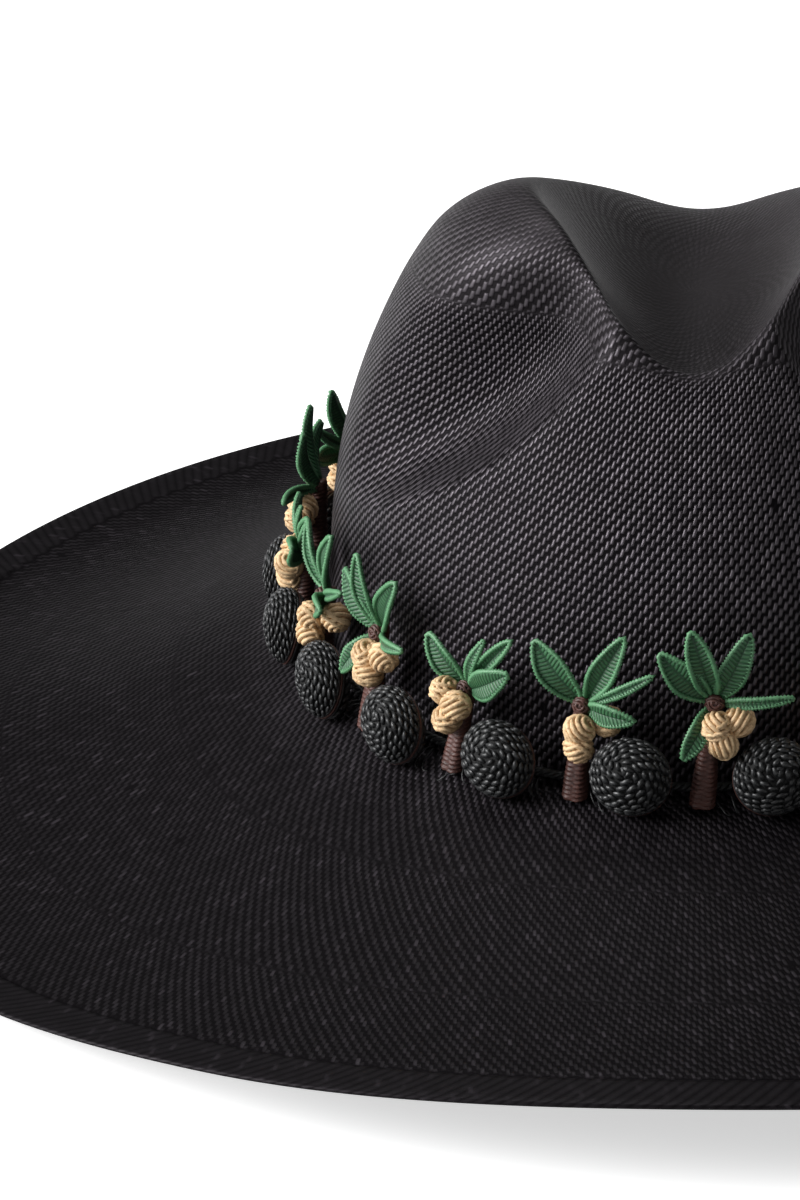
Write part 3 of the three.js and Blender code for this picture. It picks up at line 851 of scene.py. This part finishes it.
def addTrunk(shape, sway, height, standing):
    wraps = round(height / palm["wrapSpacing"])
    profile = [(0.0, 0.0)]
    for step in range(wraps * 4 + 1):
        share = step / (wraps * 4)
        radius = trim["trunkFootRadius"] * (1 - share) + trim["trunkTopRadius"] * share
        profile.append((radius, share * height))
    profile.append((0.0, height))
    before = set(shape.faces)
    spinProfile(shape, [(radius, 0, z) for radius, z in profile], palm["trunkSides"])
    faces = [face for face in shape.faces if face not in before]
    verts = list({vert for face in faces for vert in face.verts})
    bmesh.ops.remove_doubles(shape, verts=verts, dist=0.001)
    faces = [face for face in shape.faces if face not in before]
    verts = {vert for face in faces for vert in face.verts}
    bmesh.ops.recalc_face_normals(shape, faces=faces)
    for face in faces:
        face.material_index = 3
    for vert in verts:
        share = vert.co.z / height
        turn = math.atan2(vert.co.y, vert.co.x)
        fromFront = math.atan2(math.sin(turn + math.pi / 2), math.cos(turn + math.pi / 2))
        halfStep = 0.9 if fromFront > 0 else 0.0  # the wraps meet in a seam in front
        lay = share * wraps * math.pi + halfStep + 0.5 * math.sin(2 * fromFront)
        wrap = abs(math.sin(lay))
        seam = 1 - 0.2 * math.exp(-((fromFront / 0.35) ** 2))
        column = (0.8 + 0.2 * wrap) * seam + 0.04 * math.sin(9 * share)
        vert.co.x = vert.co.x * column - sway * (1 - share)
        vert.co.y = vert.co.y * column - trunkOffset + trim["trunkLean"] * share
        vert.co.z += standing + 0.25 * math.sin(turn)


leafMaterial = makeLeafMaterial()
rimMaterial = makeStrandMaterial("leafRim", palm["leafLight"], palm["rimLight"], 0.45, 1800.0)
nutMaterial = makeStrandMaterial("nutRaffia", palm["nutDark"], palm["nutLight"], 0.6, 1300.0)
trunkMaterial = makeStrandMaterial(
    "trunkWraps", palm["trunkDark"], palm["trunkLight"], 0.5, 1500.0
)
palmMaterials = [leafMaterial, rimMaterial, nutMaterial, trunkMaterial]
nutMesh = makeNutMesh()


def makePalm(number, turn):
    pattern = palmPatterns[(number - 1) % len(palmPatterns)]
    foot, out, angle = trimPlace(turn)
    innerFoot = foot + out * (trunkOffset - trim["trunkFootRadius"])
    standing = brimHeightAt(innerFoot.x, innerFoot.y) + trim["seatGap"]
    shape = bmesh.new()
    stitchMap = shape.loops.layers.uv.new("stitch")
    height = pattern["height"] * trim["trunkHeight"]
    top = Vector((0, -trunkOffset + trim["trunkLean"], standing + height))
    fanStart = top - Vector((0, 0, trim["trunkTopRadius"]))
    for leafTurn, lean, length, width in pattern["leaves"]:
        ownTurn = leafTurn + dice.uniform(-3, 3)
        ownLean = lean + dice.uniform(-2, 2)
        addLeaf(shape, fanStart, ownTurn, ownLean, length, width, stitchMap)
    addTrunk(shape, pattern["sway"], height, standing)
    for across, up, outShare in pattern["nuts"]:
        behind = top.y - trim["trunkTopRadius"] - outShare * trim["nutRadius"]
        centre = Matrix.Translation((across, behind, top.z + up))
        tip = Matrix.Rotation(dice.choice((-1, 1)) * dice.uniform(0.4, 1.2), 4, "Y")
        roll = Matrix.Rotation(dice.uniform(0, 6.28), 4, "Z")
        addMesh(shape, nutMesh, 2, centre @ tip @ roll)
    knot = Matrix.Translation(fanStart + Vector((0, -1.2, 0.4)))
    knot = knot @ Matrix.Rotation(1.2, 4, "X") @ Matrix.Scale(0.62, 4)
    addMesh(shape, nutMesh, 3, knot)
    place = Matrix.Translation(foot) @ Matrix.Rotation(angle, 4, "Z")
    place = place @ Matrix.Translation((trim["palmShift"], 0, 0))
    bmesh.ops.transform(shape, matrix=place, verts=shape.verts)
    finishPiece(f"palmTree_{number:02d}", shape, palmMaterials, [f"palm_{number:02d}"])


# Woven balls

ball = {
    "coreRadius": 8.45,
    "rowSpacing": 1.7,
    "padSpacing": 2.3,
    "padSize": (3.2, 1.5, 1.3),  # length, width and thickness
    "padSlant": 27,
    "rimStrand": 0.46,
    "axisUp": 24,  # degrees that the middle of the rows points upwards
    "dark": (0.002, 0.002, 0.0024),
    "light": (0.019, 0.02, 0.021),
    "core": (0.002, 0.002, 0.002),
    "coreLight": (0.006, 0.006, 0.006),
    "rimSteps": 56,
}
padMaterial = makeStrandMaterial("ballStraw", ball["dark"], ball["light"], 0.42, 1600.0, 0.55)
coreMaterial = makeStrandMaterial("ballCore", ball["core"], ball["coreLight"], 0.7, 1600.0, 0.3)


def makeBallMesh():
    shape = bmesh.new()
    bmesh.ops.create_uvsphere(shape, u_segments=28, v_segments=18, radius=ball["coreRadius"])
    for face in shape.faces:
        face.material_index = 1
    padReach = ball["coreRadius"] + 0.17
    rim = (math.radians(89), math.radians(95.5), math.radians(102))
    row = 0
    polar = math.radians(4)
    while polar < math.radians(172):
        if not rim[0] - 0.09 < polar < rim[-1] + 0.09:
            around = 2 * math.pi * padReach * math.sin(polar)
            count = max(round(around / ball["padSpacing"]), 3)
            for index in range(count):
                turn = 2 * math.pi * (index + 0.5 * (row % 2)) / count
                turn += dice.uniform(-0.15, 0.15) / count
                place = Matrix.Rotation(turn, 4, "Z") @ Matrix.Rotation(polar, 4, "Y")
                place = place @ Matrix.Translation((0, 0, padReach))
                slant = 90 + ball["padSlant"] * (1 if polar < rim[0] else -1) + dice.uniform(-20, 20)
                swell = dice.uniform(0.82, 1.12)
                stretch = Matrix.Diagonal((*(size / 2 * swell for size in ball["padSize"]), 1))
                place = place @ Matrix.Rotation(math.radians(slant), 4, "Z") @ stretch
                bmesh.ops.create_icosphere(shape, subdivisions=1, radius=1, matrix=place)
        polar += ball["rowSpacing"] / padReach
        row += 1
    for index, polar in enumerate(rim):
        steps = ball["rimSteps"]
        strandReach = ball["coreRadius"] + ball["rimStrand"] * 0.4
        points = [spherePoint(polar, step / steps * 2 * math.pi, strandReach) for step in range(steps)]
        ring = strandMesh(points, [ball["rimStrand"]] * steps, closed=True, sides=3)
        addMesh(shape, ring, 2 if index == 1 else 0)
        bpy.data.meshes.remove(ring)
    return meshFrom(shape, "ball")


ballMesh = makeBallMesh()
print("one ball:", len(ballMesh.polygons), "faces")


def makeBall(number, turn):
    foot, out, angle = trimPlace(turn)
    middle = foot + out * trim["ballOut"]
    innerTouch = foot + out * (trim["ballOut"] - trim["ballDepth"] / 8)
    middle.z = brimHeightAt(innerTouch.x, innerTouch.y) + ballRadius + trim["seatGap"]
    shape = bmesh.new()
    shape.from_mesh(ballMesh)
    flatter = Matrix.Scale(trim["ballDepth"] / trim["ballDiameter"], 4, (0, 1, 0))
    tilt = Matrix.Rotation(math.radians(90 - ball["axisUp"]), 4, "X")
    face = Matrix.Rotation(angle, 4, "Z") @ flatter @ tilt
    roll = Matrix.Rotation(dice.uniform(0, 6.28), 4, "Z")
    bmesh.ops.transform(shape, matrix=Matrix.Translation(middle) @ face @ roll, verts=shape.verts)
    materials = [padMaterial, coreMaterial, trunkMaterial]
    finishPiece(f"wovenBall_{number:02d}", shape, materials, [f"ball_{number:02d}"])


for index, turn in enumerate(evenTurns(2 * trim["motifCount"], trim["start"])):
    if index % 2 == 0:
        makePalm(index // 2 + 1, turn)
    else:
        makeBall(index // 2 + 1, turn)
print("palms and balls made")


# Loose ends of straw between the motifs, from the cord out over the brim

loose = {
    "radius": 0.22,
    "fromCord": 0.9,
    "spread": 5.0,
    "reach": (3.0, 7.5),
    "lift": (0.8, 3.2),
    "steps": 10,
}


def makeLooseStraw(turns):
    shape = bmesh.new()
    for turn in turns:
        for _ in range(3):
            foot, out, _ = trimPlace(turn)
            aside = Vector((-out.y, out.x, 0)) * (1 if dice.random() < 0.5 else -1)
            start = dice.uniform(-loose["spread"], loose["spread"]) / 2
            sweep = dice.uniform(1.5, loose["spread"])
            reach = dice.uniform(*loose["reach"])
            lift = dice.uniform(*loose["lift"])
            points = []
            for step in range(loose["steps"] + 1):
                share = step / loose["steps"]
                away = cordInset + loose["fromCord"] + reach * math.sin(share * math.pi * 0.62)
                point = foot + out * away + aside * (start + sweep * share)
                ground = brimHeightAt(point.x, point.y) + loose["radius"]
                point.z = ground + lift * (1 - share) * (0.35 + math.sin(share * math.pi))
                points.append(point)
            radii = [loose["radius"] * (1 - 0.5 * step / loose["steps"]) for step in range(len(points))]
            strand = strandMesh(points, radii, sides=3)
            addMesh(shape, strand, 0)
            bpy.data.meshes.remove(strand)
    finishPiece("looseStraw", shape, [cordMaterial], [])


# Trim cord: three strands laid round each other in the bend at the crown's foot

cord = {"strands": 3, "strandRadius": 0.6, "twist": 0.55, "twists": 110, "steps": 10}
cordMaterial = makeStrandMaterial("cordStraw", ball["dark"], ball["light"], 0.4, 1500.0)


def makeTrimCord():
    shape = bmesh.new()
    count = cord["twists"] * cord["steps"]
    for strand in range(cord["strands"]):
        points = []
        for step in range(count):
            turn = step / count * 2 * math.pi
            foot, out, _ = trimPlace(turn)
            sag = edgeHang(turn) * math.sin(cordInset / hat["brimWidth"] * math.pi / 2)
            height = footHeight - sag + cordInset
            lay = 2 * math.pi * (step / cord["steps"] + strand / cord["strands"])
            point = foot + out * (cordInset + cord["twist"] * math.cos(lay))
            point.z = height + cord["twist"] * math.sin(lay)
            points.append(point)
        tube = strandMesh(points, [cord["strandRadius"]] * count, closed=True, sides=3)
        addMesh(shape, tube, 0)
        bpy.data.meshes.remove(tube)
    finishPiece("trimCord", shape, [cordMaterial], ["trim_cord"])


makeTrimCord()
makeLooseStraw(evenTurns(2 * trim["motifCount"], trim["start"] + 4))


# Floor, light and camera

studio = {
    "floorSize": 14.0,
    "floor": 0.85,
    "floorGlow": 0.6,  # as the camera sees it
    "bounceGlow": 0.25,  # as it lights the hat
    "world": 0.1,
    "sun": 4.7,
    "sunAngle": 36,
    "sunFrom": (-1.0, -0.1, 0.5),
    # Area lights: power, size, place and the height that they aim at, in metres
    "softbox": (4.3, 0.8, (-1.2, -0.7, 0.5), 0.08),
    "overhead": (1.8, 0.35, (-0.1, 0.2, 0.75), 0.12),
}


def makeStudio():
    shape = bmesh.new()
    bmesh.ops.create_grid(shape, x_segments=1, y_segments=1, size=studio["floorSize"] / 2)
    mesh = meshFrom(shape, "floor")
    floor = bpy.data.objects.new("floor", mesh)
    bpy.context.scene.collection.objects.link(floor)
    material, tree, shader = newMaterial("palePaper")
    grain = addNode(tree, "ShaderNodeTexNoise", {"Scale": 30.0, "Detail": 2.0})
    tree.links.new(addNode(tree, "ShaderNodeTexCoord").outputs["Object"], grain.inputs["Vector"])
    low, high = [studio["floor"]] * 3, [studio["floor"] + 0.02] * 3
    colour = blendColours(tree, grain.outputs["Fac"], low, high)
    tree.links.new(colour, shader.inputs["Base Color"])
    shader.inputs["Roughness"].default_value = 0.9
    shader.inputs["Emission Color"].default_value = (1.0, 1.0, 1.0, 1.0)
    seen = addNode(tree, "ShaderNodeLightPath").outputs["Is Camera Ray"]
    more = studio["floorGlow"] - studio["bounceGlow"]
    glow = maths(tree, "MULTIPLY_ADD", seen, more, studio["bounceGlow"])
    tree.links.new(glow, shader.inputs["Emission Strength"])
    mesh.materials.append(material)

    world = bpy.data.worlds.new("studio")
    bpy.context.scene.world = world
    world.use_nodes = True
    background = world.node_tree.nodes["Background"]
    background.inputs["Color"].default_value = (1.0, 1.0, 1.0, 1.0)
    background.inputs["Strength"].default_value = studio["world"]

    key = bpy.data.lights.new("key", "SUN")
    key.energy = studio["sun"]
    key.angle = math.radians(studio["sunAngle"])
    lamp = bpy.data.objects.new("key", key)
    lamp.rotation_euler = Vector(studio["sunFrom"]).to_track_quat("Z", "Y").to_euler()
    bpy.context.scene.collection.objects.link(lamp)

    for name in ("softbox", "overhead"):
        power, size, place, aim = studio[name]
        area = bpy.data.lights.new(name, "AREA")
        area.energy = power
        area.size = size
        lamp = bpy.data.objects.new(name, area)
        lamp.location = place
        towardsHat = Vector(place) - Vector((0, 0, aim))
        lamp.rotation_euler = towardsHat.to_track_quat("Z", "Y").to_euler()
        bpy.context.scene.collection.objects.link(lamp)
    bpy.context.scene.view_settings.view_transform = "Standard"


picture = {
    "elevation": 23.6,
    "turn": 0.8,
    "distance": 1.5,
    "lens": 192.6,
    "sensor": 36.0,
    "width": 800,
    "height": 1200,
    "footAt": (698.4, 605.3),  # where the middle of the crown's foot stands
}


def makeCamera():
    elevation, turn = math.radians(picture["elevation"]), math.radians(picture["turn"])
    level = math.cos(elevation)
    back = Vector((math.sin(turn) * level, -math.cos(turn) * level, math.sin(elevation)))
    data = bpy.data.cameras.new("photoCamera")
    data.sensor_fit = "VERTICAL"
    data.sensor_height = picture["sensor"]
    data.lens = picture["lens"]
    data.clip_end = 50.0
    focal = picture["lens"] / picture["sensor"] * picture["height"]
    aside = math.atan((picture["footAt"][0] - picture["width"] / 2) / focal)
    upwards = math.atan((picture["footAt"][1] - picture["height"] / 2) / focal)
    camera = bpy.data.objects.new("photoCamera", data)
    camera.location = Vector((0, 0, footHeight * metre)) + back * picture["distance"]
    camera.rotation_mode = "QUATERNION"
    shift = Quaternion((0, 1, 0), aside) @ Quaternion((1, 0, 0), upwards)
    camera.rotation_quaternion = back.to_track_quat("Z", "Y") @ shift
    bpy.context.scene.collection.objects.link(camera)
    bpy.context.scene.camera = camera


makeStudio()
makeCamera()
print("studio and camera set")
